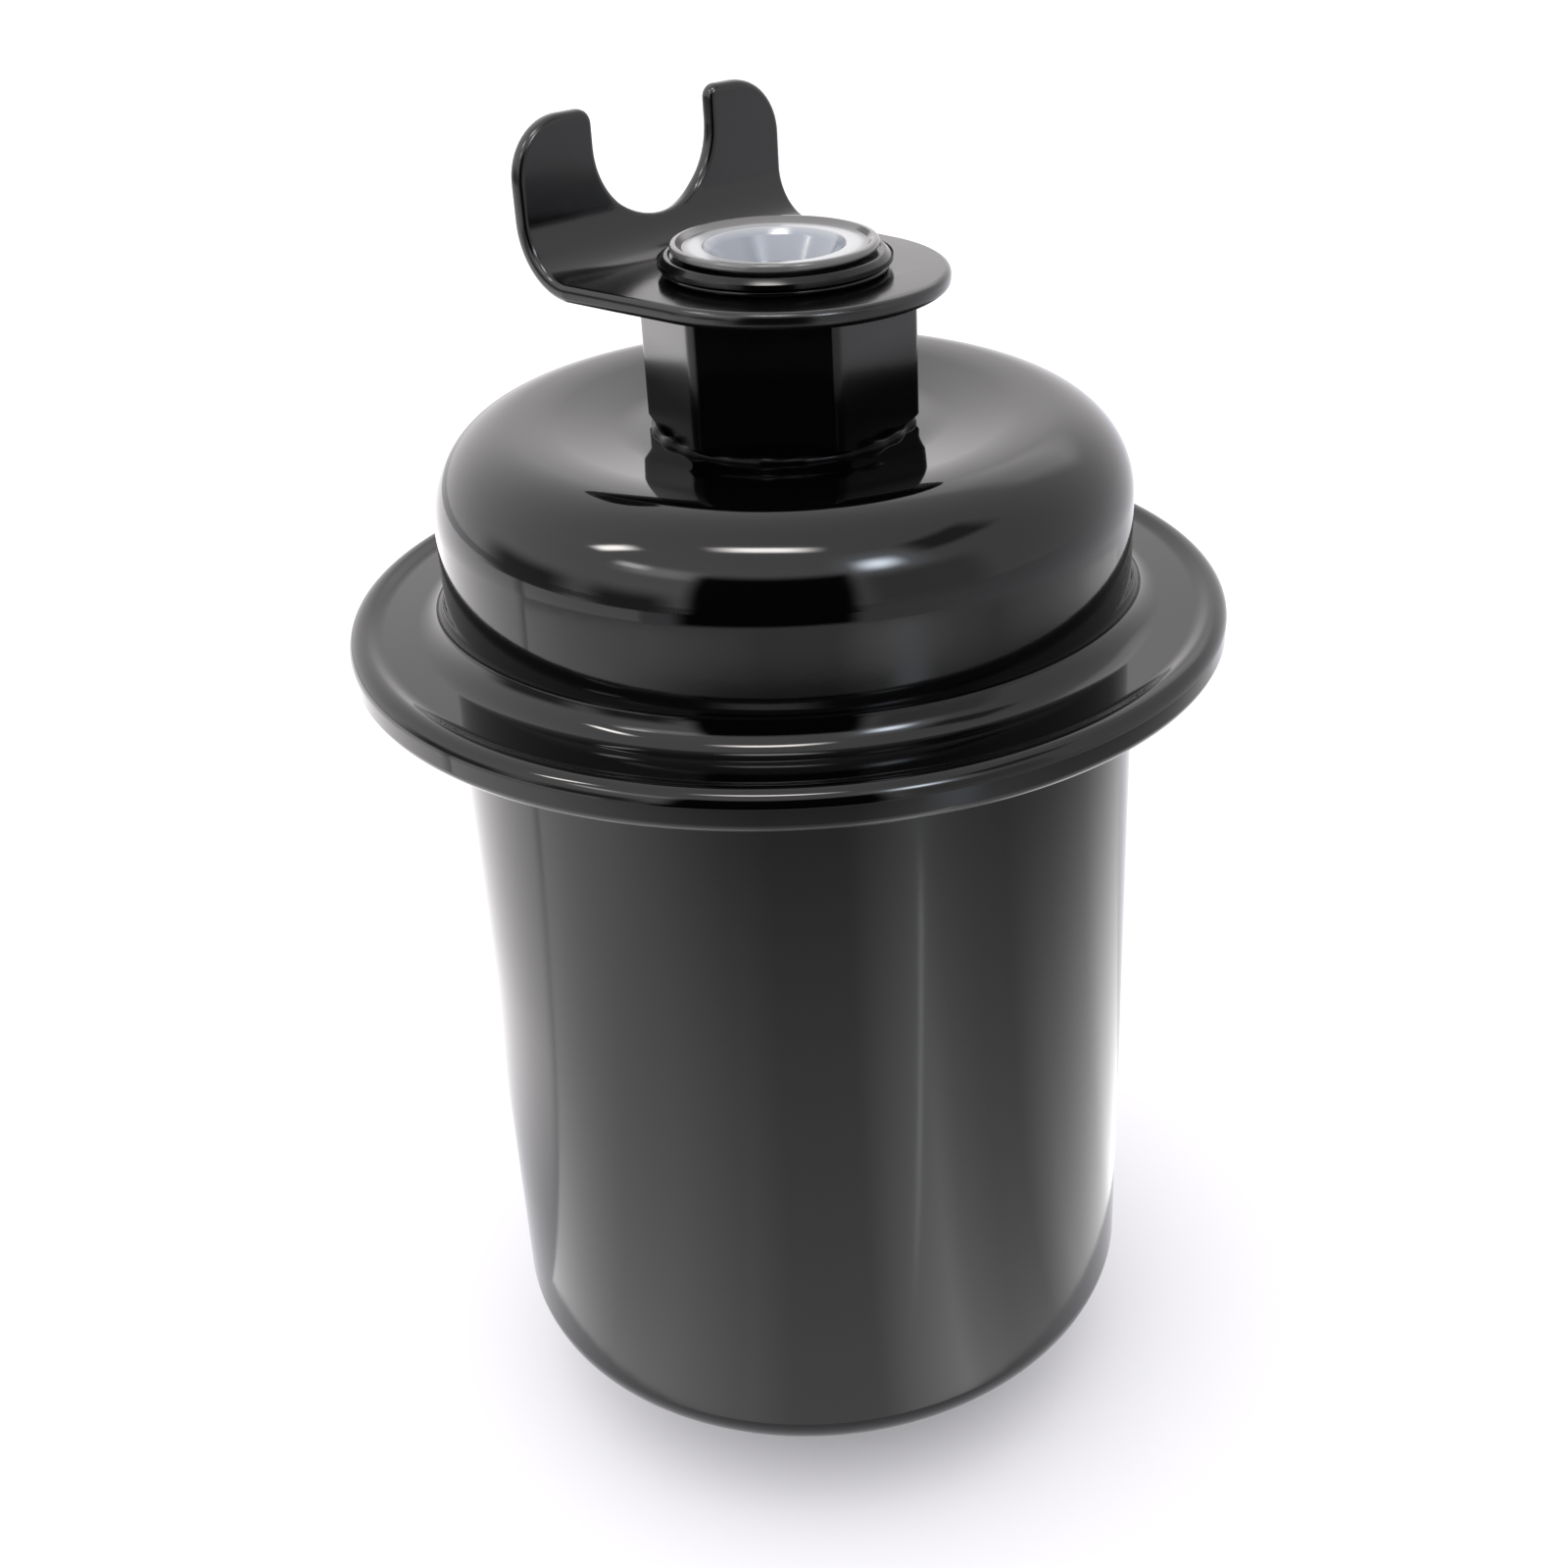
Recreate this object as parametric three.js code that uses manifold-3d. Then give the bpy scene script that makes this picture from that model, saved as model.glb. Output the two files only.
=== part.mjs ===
// In-line fuel filter with a steel can: a deep-drawn can and a domed cover hemmed together at a flange,
// a hexagonal banjo port with a fork bracket on top, a hexagonal inlet port below, and a pleated element.
// Millimetres, +Z up. The origin is on the can's axis, in the bottom face of the inlet port.
import * as THREE from "three";
import { mergeVertices } from "three/addons/utils/BufferGeometryUtils.js";
import Module from "manifold-3d";

const wasm = await Module();
wasm.setup();

// ---- driving dimensions ----
const SHEET = 0.8; // wall of the can and the cover
const GAP = 0.3; // clearance between pieces that touch on the real filter
const SEGMENTS = 40; // facets round a large turned piece
const SMALL_SEGMENTS = 24; // facets round a small turned piece

const CAN_R = 30.5;
const CAN_BOTTOM_Z = 10;
const FLANGE_Z = 84.7; // flat part of the flange's top face
const FLANGE_R = 38.5;
const CAN_CORNER_R = 4;

const COVER_R = 30.05;
const COVER_FILLET_R = 2.6; // flange to wall
const COVER_CORNER_R = 7.2; // wall to top
const CREST_R = 22.5; // the top's highest ring
const CREST_Z = FLANGE_Z + 17;
const CREST_ARC_R = 20;
const TOP_SLOPE = 9.6; // degrees, down from the crest to the pad
const PAD_R = 13.4; // flat pad that the outlet port is welded to
const PAD_Z = FLANGE_Z + 15.75;
const PAD_BLEND_R = 12;
const PORT_HOLE_R = 8.3;

const HEM_INNER_R = 33.5; // where the cover's folded edge ends, under the can's flange
const CAN_FLANGE_R = 36.6;
const BEAD_R = 1.3; // rolled edge of the hem
const BEAD_RISE = 0.5; // its top above the flat flange
const BEAD_START_R = 35.7; // where the flange starts to rise to it
const BEAD_LEAN = 25; // degrees, steepness of its inner side

const OUTLET_HEX_R = 11.64; // centre to corner: 20.2 mm across flats
const OUTLET_HEX_TURN = 22.3; // degrees from -Y towards +X to a corner
const HEX_TOP_Z = FLANGE_Z + 27.1;
const HEX_CHAMFER = 1;
const NECK_R = 8;
const COLLAR_R = 9.7;
const COLLAR_LOW_Z = FLANGE_Z + 29.45;
const SEAT_Z = FLANGE_Z + 30.3; // sealing face of the outlet port
const SEAT_R = 9.1;
const OUTLET_BORE_R = 5.35; // tapping size of the M12 x 1.25 thread
const SEAT_RIM_R = 8.8; // the sealing face's rim, outside this, stands a little proud
const SEAT_RELIEF = 0.15;
const OUTLET_MOUTH = 0.9; // 45 degree lead-in at the bore's mouth
const OUTLET_BORE_LOW_Z = FLANGE_Z + 15.4;
const CHANNEL_R = 3;
const SPIGOT_R = 5.5;
const SPIGOT_LOW_Z = 89;
const WASHER_R = 9.4;

const INLET_HEX_R = 10.97; // 19 mm across flats
const INLET_BORE_R = 6.2; // tapping size of the M14 x 1.5 thread
const INLET_BORE_TOP_Z = 15.5;
const INLET_TOP_Z = 18.5;

const PLUG_CLEARANCE = 0.35; // plug to bore, all round
const PLUG_WALL = 0.9;
const PLUG_FLANGE_R = 8.6;
const PLUG_RIM_WIDTH = 0.5; // raised rim round the outlet plug's flange
const PLUG_THROAT_R = 5.9; // mouth of the hollow in the outlet plug
const OUTLET_PLUG_DEPTH = 7;
const INLET_PLUG_FACE_Z = 0.4;
const INLET_PLUG_TOP_Z = 6.2;

const BRACKET_TURN = 43.5; // degrees from +Y towards -X to the middle of the fork
const PLATE = 1.5;
const EYE_R = 14;
const EYE_HOLE_R = 8.4;
const EYE_SHIFT = 0.7; // the eye's round end stands off the axis, across the fork
const EYE_LOW_Z = HEX_TOP_Z + 0.1;
const FORK_Y = 13.85; // axis to the fork's near face
const FORK_HALF = 14.5;
const BEND_R = 4.2; // inside radius
const FORK_TOP_Z = FLANGE_Z + 40.9;
const SLOT_R = 6.5;
const SLOT_Z = FLANGE_Z + 37.8; // centre of the slot's round end
const PRONG_OUTER_CORNER_R = 5;
const PRONG_INNER_CORNER_R = 1.2;

const ELEMENT_R = 26;
const FOLD_INNER_R = 13.2;
const FOLDS = 36;
const PAPER = 0.45;
const MEDIUM_LOW_Z = 31;
const MEDIUM_TOP_Z = 90.4;
const POTTING = 2;
const TUBE_R = 11.5;
const TUBE_WALL = 0.6;
const CAP_R = 27.8;
const CAP_RIM = 4; // height of a cap's upturned rim
const CAP_SHEET = 0.6;
const LOWER_CAP_Z = MEDIUM_LOW_Z - POTTING - 2 * GAP - CAP_SHEET; // underside of the lower cap
const UPPER_CAP_Z = MEDIUM_TOP_Z + POTTING + 2 * GAP; // underside of the upper cap
const GROMMET_WALL = 1.9;
const TUBE_HOLE_R = 2.6;
const SPRING_R = 12.4; // axis to the wire's centre
const SPRING_WIRE_R = 0.8;

// ---- materials ----
const paint = (color) => new THREE.MeshStandardMaterial({ color, roughness: 0.18, metalness: 0 });
const BLACK = 0x111113;
const finishes = {
  can: () => paint(BLACK),
  cover: () => paint(BLACK),
  port: () => paint(BLACK),
  bracket: () => paint(BLACK),
  steel: () => new THREE.MeshStandardMaterial({ color: 0xb4b6b8, roughness: 0.35, metalness: 1 }),
  brass: () => new THREE.MeshStandardMaterial({ color: 0xc9a24a, roughness: 0.3, metalness: 1 }),
  plug: () => new THREE.MeshStandardMaterial({ color: 0xdfe6ea, roughness: 0.25, metalness: 0 }),
  rubber: () => new THREE.MeshStandardMaterial({ color: 0x1b1b1b, roughness: 0.8, metalness: 0 }),
  paper: () => new THREE.MeshStandardMaterial({ color: 0xd9b25c, roughness: 0.95, metalness: 0 }),
  potting: () => new THREE.MeshStandardMaterial({ color: 0x4c8a52, roughness: 0.6, metalness: 0 }),
};

// ---- geometry helpers ----
const radians = (degrees) => (degrees * Math.PI) / 180;

// Points on an arc about (r, z), from one angle to another in degrees. 0 points outwards, 90 up.
function arc(r, z, radius, from, to, steps = 4) {
  const points = [];
  for (let i = 0; i <= steps; i++) {
    const angle = radians(from + ((to - from) * i) / steps);
    points.push([r + radius * Math.cos(angle), z + radius * Math.sin(angle)]);
  }
  return points;
}

// A solid of revolution about Z. The profile is anticlockwise, with r to the right and z up.
// It closes on itself unless it starts and ends on the axis.
function turned(profile, segments = SEGMENTS) {
  const points = profile.map(([r, z]) => new THREE.Vector2(r, z));
  const onAxis = profile[0][0] === 0 && profile[profile.length - 1][0] === 0;
  if (!onAxis) points.push(points[0].clone());
  return new THREE.LatheGeometry(points, segments).rotateX(Math.PI / 2);
}

// A plain ring: inner and outer radius, low and high z.
const ring = (inner, outer, low, high, segments = SEGMENTS) =>
  turned([[inner, low], [outer, low], [outer, high], [inner, high]], segments);

function disc(radius, low, high, segments = SMALL_SEGMENTS) {
  return turned([[0, low], [radius, low], [radius, high], [0, high]], segments);
}

// A prism along Z with six sides. The corners are at radius r, and one is at the given angle from -Y.
function hexPrism(r, turn, low, high) {
  const corners = [];
  for (let i = 0; i < 6; i++) {
    const angle = radians(turn - 90 + 60 * i);
    corners.push(new THREE.Vector2(r * Math.cos(angle), r * Math.sin(angle)));
  }
  return prism(corners, low, high);
}

function prism(outline, low, high) {
  const shape = new THREE.Shape(outline);
  return new THREE.ExtrudeGeometry(shape, { depth: high - low, bevelEnabled: false }).translate(0, 0, low);
}

function solid(geometry) {
  const bare = geometry.clone();
  bare.deleteAttribute("normal");
  bare.deleteAttribute("uv");
  const merged = mergeVertices(bare, 1e-4);
  const mesh = new wasm.Mesh({
    numProp: 3,
    vertProperties: merged.attributes.position.array,
    triVerts: new Uint32Array(merged.index.array),
  });
  return new wasm.Manifold(mesh);
}

function geometryOf(body) {
  const mesh = body.getMesh();
  const geometry = new THREE.BufferGeometry();
  geometry.setAttribute("position", new THREE.BufferAttribute(mesh.vertProperties, 3));
  geometry.setIndex(new THREE.BufferAttribute(mesh.triVerts, 1));
  return geometry;
}

const part = new THREE.Group();

function add(name, geometry, finish, group = part) {
  const mesh = new THREE.Mesh(geometry, finishes[finish]());
  mesh.name = name;
  group.add(mesh);
}

// ---- can and cover ----
// One drawn cup. Its flange lies inside the cover's hem.
function makeCan() {
  const inner = CAN_R - SHEET;
  const floorIn = CAN_BOTTOM_Z + SHEET;
  const flangeTop = FLANGE_Z - SHEET - GAP;
  const flangeLow = flangeTop - SHEET;
  const neckR = 1.2; // wall to flange
  return turned([
    [PORT_HOLE_R, CAN_BOTTOM_Z],
    ...arc(CAN_R - CAN_CORNER_R, CAN_BOTTOM_Z + CAN_CORNER_R, CAN_CORNER_R, -90, 0),
    ...arc(CAN_R + neckR, flangeLow - neckR, neckR, 180, 90, 2),
    [CAN_FLANGE_R, flangeLow],
    [CAN_FLANGE_R, flangeTop],
    [inner, flangeTop],
    ...arc(CAN_R - CAN_CORNER_R, CAN_BOTTOM_Z + CAN_CORNER_R, CAN_CORNER_R - SHEET, 0, -90),
    [PORT_HOLE_R, floorIn],
  ]);
}

// The cover's line from the wall over the crest to the pad, offset inwards from the outer face.
function coverTop(offset) {
  const cornerR = COVER_R - COVER_CORNER_R;
  const crestCentreZ = CREST_Z - CREST_ARC_R;
  const rise = Math.sqrt((CREST_ARC_R - COVER_CORNER_R) ** 2 - (cornerR - CREST_R) ** 2);
  const join = THREE.MathUtils.radToDeg(Math.atan2(rise, cornerR - CREST_R));
  const blendZ = PAD_Z + PAD_BLEND_R;
  const blendStart = PAD_R - PAD_BLEND_R * Math.tan(radians(TOP_SLOPE / 2));
  return [
    ...arc(cornerR, crestCentreZ + rise, COVER_CORNER_R - offset, 0, join, 4),
    ...arc(CREST_R, crestCentreZ, CREST_ARC_R - offset, join, 90 + TOP_SLOPE, 3).slice(1),
    ...arc(blendStart, blendZ, PAD_BLEND_R + offset, -90 + TOP_SLOPE, -90, 1),
    [PORT_HOLE_R, PAD_Z - offset],
  ];
}

// One drawn dome. Its rim is folded under the can's flange.
function makeCover() {
  const hemLow = FLANGE_Z - 3 * SHEET - 2 * GAP;
  const foldR = 1;
  const beadZ = FLANGE_Z + BEAD_RISE - BEAD_R;
  const inner = COVER_R - SHEET;
  return turned([
    [HEM_INNER_R, hemLow],
    ...arc(FLANGE_R - foldR, hemLow + foldR, foldR, -90, 0, 2),
    ...arc(FLANGE_R - BEAD_R, beadZ, BEAD_R, 0, 90 + BEAD_LEAN, 4),
    [BEAD_START_R, FLANGE_Z],
    ...arc(COVER_R + COVER_FILLET_R, FLANGE_Z + COVER_FILLET_R, COVER_FILLET_R, 270, 180, 2),
    ...coverTop(0),
    ...coverTop(SHEET).reverse(),
    [inner, FLANGE_Z - SHEET],
    [FLANGE_R - BEAD_R, FLANGE_Z - SHEET],
    [FLANGE_R - SHEET, beadZ],
    [FLANGE_R - SHEET, hemLow + SHEET],
    [HEM_INNER_R, hemLow + SHEET],
  ]);
}

function makeSeamGasket() {
  const top = FLANGE_Z - SHEET - GAP;
  return ring(CAN_FLANGE_R + GAP, FLANGE_R - SHEET - GAP, top - SHEET, top);
}

// ---- outlet port ----
// Turned from hexagon bar: the hexagon with chamfered ends, a neck with a swaged collar, and a spigot.
function makeOutletFitting() {
  const low = PAD_Z + GAP;
  const shoulderZ = PAD_Z - 4;
  const collarEdge = 0.6;
  const hex = chamferedHex(OUTLET_HEX_R, low, HEX_TOP_Z, HEX_CHAMFER / 2);
  const stem = solid(turned([
    [0, SPIGOT_LOW_Z],
    [SPIGOT_R, SPIGOT_LOW_Z],
    [SPIGOT_R, shoulderZ],
    [NECK_R, shoulderZ],
    [NECK_R, COLLAR_LOW_Z],
    [COLLAR_R, COLLAR_LOW_Z],
    [COLLAR_R, SEAT_Z - collarEdge],
    [SEAT_R, SEAT_Z],
    [SEAT_RIM_R, SEAT_Z],
    [SEAT_RIM_R - SEAT_RELIEF, SEAT_Z - SEAT_RELIEF],
    [0, SEAT_Z - SEAT_RELIEF],
  ], SMALL_SEGMENTS));
  const bore = solid(turned([
    [0, SPIGOT_LOW_Z - 1],
    [CHANNEL_R, SPIGOT_LOW_Z - 1],
    [CHANNEL_R, OUTLET_BORE_LOW_Z],
    [OUTLET_BORE_R, OUTLET_BORE_LOW_Z],
    [OUTLET_BORE_R, SEAT_Z - OUTLET_MOUTH],
    [OUTLET_BORE_R + OUTLET_MOUTH, SEAT_Z],
    [OUTLET_BORE_R + OUTLET_MOUTH, SEAT_Z + 1],
    [0, SEAT_Z + 1],
  ], SMALL_SEGMENTS));
  return geometryOf(hex.add(stem).subtract(bore));
}

// A hexagon whose corners are turned off at both ends. The upper cut is given, the lower is a full chamfer.
function chamferedHex(cornerR, low, high, upperCut) {
  const clear = cornerR + 0.2;
  const barrel = [[0, low], [cornerR - HEX_CHAMFER, low], [clear, low + HEX_CHAMFER]];
  if (upperCut > 0) barrel.push([clear, high - upperCut], [cornerR - HEX_CHAMFER, high], [0, high]);
  else barrel.push([clear, high], [0, high]);
  const bar = solid(hexPrism(cornerR, OUTLET_HEX_TURN, low, high));
  return bar.intersect(solid(turned(barrel, SMALL_SEGMENTS)));
}

const makeBracketWasher = () =>
  ring(NECK_R + GAP, WASHER_R, EYE_LOW_Z + PLATE + 0.1, COLLAR_LOW_Z - 0.1);

// ---- fork bracket ----
// Stamped plate in its own frame: the eye is round the axis and the fork stands across +Y.
// The bent strip is cut to the eye's and the fork's outlines, and bored for the neck.
function makeBracket() {
  const low = EYE_LOW_Z;
  const bendY = FORK_Y - BEND_R;
  const bendZ = low + PLATE + BEND_R;
  const side = new THREE.Shape();
  side.moveTo(-EYE_R - 1, low);
  side.lineTo(bendY, low);
  side.absarc(bendY, bendZ, BEND_R + PLATE, -Math.PI / 2, 0, false);
  side.lineTo(FORK_Y + PLATE, FORK_TOP_Z);
  side.lineTo(FORK_Y, FORK_TOP_Z);
  side.lineTo(FORK_Y, bendZ);
  side.absarc(bendY, bendZ, BEND_R, 0, -Math.PI / 2, true);
  side.lineTo(-EYE_R - 1, low + PLATE);
  const strip = solid(
    new THREE.ExtrudeGeometry(side, { depth: 2 * FORK_HALF, bevelEnabled: false, curveSegments: 6 })
      .translate(0, 0, -FORK_HALF)
      .applyMatrix4(new THREE.Matrix4().set(0, 0, 1, 0, 1, 0, 0, 0, 0, 1, 0, 0, 0, 0, 0, 1)),
  );
  const hole = solid(disc(EYE_HOLE_R, low - 1, low + PLATE + 1));
  return geometryOf(strip.intersect(solid(eyeOutline())).intersect(solid(forkOutline())).subtract(hole));
}

// Where a line from a corner beside the eye touches its round end: an angle up from the +X side.
function touchAngle(across, along) {
  return Math.atan2(along, across) - Math.acos(EYE_R / Math.hypot(across, along));
}

// Seen from above: the round eye, and tangents from it to the two ends of the bend.
function eyeOutline() {
  const bendY = FORK_Y - BEND_R;
  const left = touchAngle(FORK_HALF + EYE_SHIFT, bendY);
  const right = touchAngle(FORK_HALF - EYE_SHIFT, bendY);
  const shape = new THREE.Shape();
  shape.absarc(EYE_SHIFT, 0, EYE_R, Math.PI - left, 2 * Math.PI + right, false);
  shape.lineTo(FORK_HALF, bendY);
  shape.lineTo(FORK_HALF + 1, bendY);
  shape.lineTo(FORK_HALF + 1, FORK_Y + PLATE + 1);
  shape.lineTo(-FORK_HALF - 1, FORK_Y + PLATE + 1);
  shape.lineTo(-FORK_HALF - 1, bendY);
  shape.lineTo(-FORK_HALF, bendY);
  const settings = { depth: 20, bevelEnabled: false, curveSegments: 28 };
  return new THREE.ExtrudeGeometry(shape, settings).translate(0, 0, EYE_LOW_Z - 2);
}

// Seen from the axis: two prongs with round corners, and the open slot between them.
function forkOutline() {
  const outer = PRONG_OUTER_CORNER_R;
  const inner = PRONG_INNER_CORNER_R;
  const top = FORK_TOP_Z;
  const shape = new THREE.Shape();
  shape.moveTo(-FORK_HALF, EYE_LOW_Z - 1);
  shape.lineTo(FORK_HALF, EYE_LOW_Z - 1);
  shape.absarc(FORK_HALF - outer, top - outer, outer, 0, Math.PI / 2, false);
  shape.absarc(SLOT_R + inner, top - inner, inner, Math.PI / 2, Math.PI, false);
  shape.absarc(0, SLOT_Z, SLOT_R, 0, -Math.PI, true);
  shape.absarc(-SLOT_R - inner, top - inner, inner, 0, Math.PI / 2, false);
  shape.absarc(-FORK_HALF + outer, top - outer, outer, Math.PI / 2, Math.PI, false);
  const depth = 2 * EYE_R + 10;
  return new THREE.ExtrudeGeometry(shape, { depth, bevelEnabled: false, curveSegments: 5 })
    .translate(0, 0, -FORK_Y - PLATE - 1)
    .rotateX(Math.PI / 2);
}

// ---- inlet port ----
// A shorter hexagon on the can's bottom, with a neck through the can.
function makeInletFitting() {
  const mouth = 1; // lead-in at the bore's mouth
  const hex = chamferedHex(INLET_HEX_R, 0, CAN_BOTTOM_Z - GAP, 0);
  const neck = solid(disc(NECK_R, 1, INLET_TOP_Z));
  const bore = solid(turned([
    [0, -1],
    [INLET_BORE_R + mouth, -1],
    [INLET_BORE_R + mouth, 0],
    [INLET_BORE_R, mouth],
    [INLET_BORE_R, INLET_BORE_TOP_Z],
    [CHANNEL_R, INLET_BORE_TOP_Z],
    [CHANNEL_R, INLET_TOP_Z + 1],
    [0, INLET_TOP_Z + 1],
  ], SMALL_SEGMENTS));
  return geometryOf(hex.add(neck).subtract(bore));
}

// Inverted flare seat, pressed against the end of the inlet bore, with its cone towards the mouth.
function makeFlareSeat() {
  const holeR = 2.5;
  const noseR = 3.3;
  const outer = INLET_BORE_R - GAP;
  const top = INLET_BORE_TOP_Z - GAP;
  const nose = top - 3.2;
  return turned([[holeR, nose], [noseR, nose], [outer, top - 1], [outer, top], [holeR, top]], SMALL_SEGMENTS);
}

// ---- transit plugs: hollow push-in cups ----
// The flange stands on the port's sealing face, and the stem flares above it with the bore's mouth.
function makeOutletPlug() {
  const flangeLow = SEAT_Z + 0.25;
  const rimTop = flangeLow + 0.65;
  const floor = flangeLow + 0.25; // top of the flange, inside the raised rim
  const stemR = OUTLET_BORE_R - PLUG_CLEARANCE;
  const hollowR = stemR - PLUG_WALL;
  const low = SEAT_Z - OUTLET_PLUG_DEPTH;
  const slope = 0.3;
  return turned([
    [0, low],
    [stemR - 0.6, low],
    [stemR, low + 0.8],
    [stemR, SEAT_Z - OUTLET_MOUTH],
    [stemR + OUTLET_MOUTH, SEAT_Z],
    [stemR + OUTLET_MOUTH, flangeLow],
    [PLUG_FLANGE_R, flangeLow],
    [PLUG_FLANGE_R, rimTop],
    [PLUG_FLANGE_R - PLUG_RIM_WIDTH, rimTop],
    [PLUG_FLANGE_R - PLUG_RIM_WIDTH - slope, floor],
    [PLUG_THROAT_R, floor],
    [PLUG_THROAT_R - slope, flangeLow - slope],
    [hollowR, SEAT_Z - 2],
    [hollowR - slope, low + 1],
    [0, low + 1],
  ], SMALL_SEGMENTS);
}

function makeInletPlug() {
  const face = INLET_PLUG_FACE_Z;
  const top = INLET_PLUG_TOP_Z;
  const stemR = INLET_BORE_R - PLUG_CLEARANCE;
  return turned([
    [0, top - 1],
    [stemR - PLUG_WALL - 0.3, top - 1],
    [stemR - PLUG_WALL, face],
    [stemR + 0.6, face],
    [stemR, face + 0.8],
    [stemR, top - 0.8],
    [stemR - 0.6, top],
    [0, top],
  ], SMALL_SEGMENTS);
}

// ---- inside the can ----
// A cup pressed over the inlet's inner end. Its side windows turn the flow outwards.
function makeInletDiffuser() {
  const metal = 0.6;
  const windows = 6;
  const inner = NECK_R + GAP;
  const outer = inner + metal;
  const low = CAN_BOTTOM_Z + SHEET + GAP;
  const top = INLET_TOP_Z + 5;
  const cup = solid(turned([
    [inner, low],
    [outer, low],
    [outer, top],
    [0, top],
    [0, top - metal],
    [inner, top - metal],
  ], SMALL_SEGMENTS));
  const cutters = [];
  for (let i = 0; i < windows; i++) {
    const window = new THREE.BoxGeometry(4, 4, 3).translate(outer, 0, INLET_TOP_Z + 2.2);
    cutters.push(solid(window.rotateZ((2 * Math.PI * i) / windows)));
  }
  return geometryOf(cup.subtract(wasm.Manifold.union(cutters)));
}

class Helix extends THREE.Curve {
  constructor(radius, low, high, turns) {
    super();
    Object.assign(this, { radius, low, high, turns });
  }
  // The end coils lie flatter than the middle ones.
  getPoint(t, target = new THREE.Vector3()) {
    const angle = 2 * Math.PI * this.turns * t;
    const lift = 0.55 * t + 0.45 * THREE.MathUtils.smootherstep(t, 0, 1);
    const z = THREE.MathUtils.lerp(this.low, this.high, lift);
    return target.set(this.radius * Math.cos(angle), this.radius * Math.sin(angle), z);
  }
}

// It stands on the can's bottom, round the diffuser, and pushes the element up onto the spigot.
function makeElementSpring() {
  const low = CAN_BOTTOM_Z + SHEET + GAP + SPRING_WIRE_R;
  const high = LOWER_CAP_Z - GAP - SPRING_WIRE_R;
  const wire = new THREE.Shape();
  wire.absarc(0, 0, SPRING_WIRE_R, 0, 2 * Math.PI, false);
  return new THREE.ExtrudeGeometry(wire, {
    steps: 56,
    bevelEnabled: false,
    curveSegments: 4,
    extrudePath: new Helix(SPRING_R, low, high, 3.5),
  });
}

// Pressed pans that hold the ends of the element.
function makeLowerEndCap() {
  const floor = LOWER_CAP_Z + CAP_SHEET;
  return turned([
    [0, LOWER_CAP_Z],
    [CAP_R, LOWER_CAP_Z],
    [CAP_R, floor + CAP_RIM],
    [CAP_R - CAP_SHEET, floor + CAP_RIM],
    [CAP_R - CAP_SHEET, floor],
    [0, floor],
  ]);
}

function makeUpperEndCap() {
  const top = UPPER_CAP_Z + CAP_SHEET;
  const lip = UPPER_CAP_Z - 3;
  const holeR = SPIGOT_R + 2 * GAP + GROMMET_WALL;
  return turned([
    [CAP_R - CAP_SHEET, UPPER_CAP_Z],
    [CAP_R - CAP_SHEET, UPPER_CAP_Z - CAP_RIM],
    [CAP_R, UPPER_CAP_Z - CAP_RIM],
    [CAP_R, top],
    [holeR, top],
    [holeR, lip],
    [holeR + CAP_SHEET, lip],
    [holeR + CAP_SHEET, UPPER_CAP_Z],
  ]);
}

const makePotting = (low) => ring(TUBE_R + GAP, CAP_R - CAP_SHEET - GAP, low, low + POTTING);

// Moves each side of a closed outline sideways by the same distance, and meets the sides again.
function offsetOutline(points, distance) {
  return points.map((point, i) => {
    const before = points[(i + points.length - 1) % points.length];
    const after = points[(i + 1) % points.length];
    const a = point.clone().sub(before).normalize();
    const b = after.clone().sub(point).normalize();
    const mitre = new THREE.Vector2(a.y + b.y, -a.x - b.x).normalize();
    return point.clone().addScaledVector(mitre, distance / mitre.dot(new THREE.Vector2(a.y, -a.x)));
  });
}

// One band of paper folded in and out round the centre tube.
function makePleatedMedium() {
  const line = [];
  const tip = 1.1;
  const corner = (radius, angle, across) =>
    line.push(new THREE.Vector2(radius, across).rotateAround(new THREE.Vector2(), angle));
  for (let i = 0; i < FOLDS; i++) {
    const outerAngle = (2 * Math.PI * i) / FOLDS;
    const innerAngle = outerAngle + Math.PI / FOLDS;
    corner(ELEMENT_R - PAPER, outerAngle, -tip / 2);
    corner(ELEMENT_R - PAPER, outerAngle, tip / 2);
    corner(FOLD_INNER_R, innerAngle, -tip / 2);
    corner(FOLD_INNER_R, innerAngle, tip / 2);
  }
  const shape = new THREE.Shape(offsetOutline(line, PAPER / 2));
  shape.holes.push(new THREE.Path(offsetOutline(line, -PAPER / 2)));
  const depth = MEDIUM_TOP_Z - MEDIUM_LOW_Z;
  return new THREE.ExtrudeGeometry(shape, { depth, bevelEnabled: false }).translate(0, 0, MEDIUM_LOW_Z);
}

// A folded strip that closes the paper band over one fold.
function makeSeamClip() {
  const half = 1.3;
  const metal = 0.4;
  const out = ELEMENT_R + GAP;
  const back = out - 4;
  const outline = [
    [back, -half - metal],
    [out + metal, -half - metal],
    [out + metal, half + metal],
    [back, half + metal],
    [back, half],
    [out, half],
    [out, -half],
    [back, -half],
  ].map(([x, y]) => new THREE.Vector2(x, y));
  return prism(outline, MEDIUM_LOW_Z + 2.5, MEDIUM_TOP_Z - 2.5);
}

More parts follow.
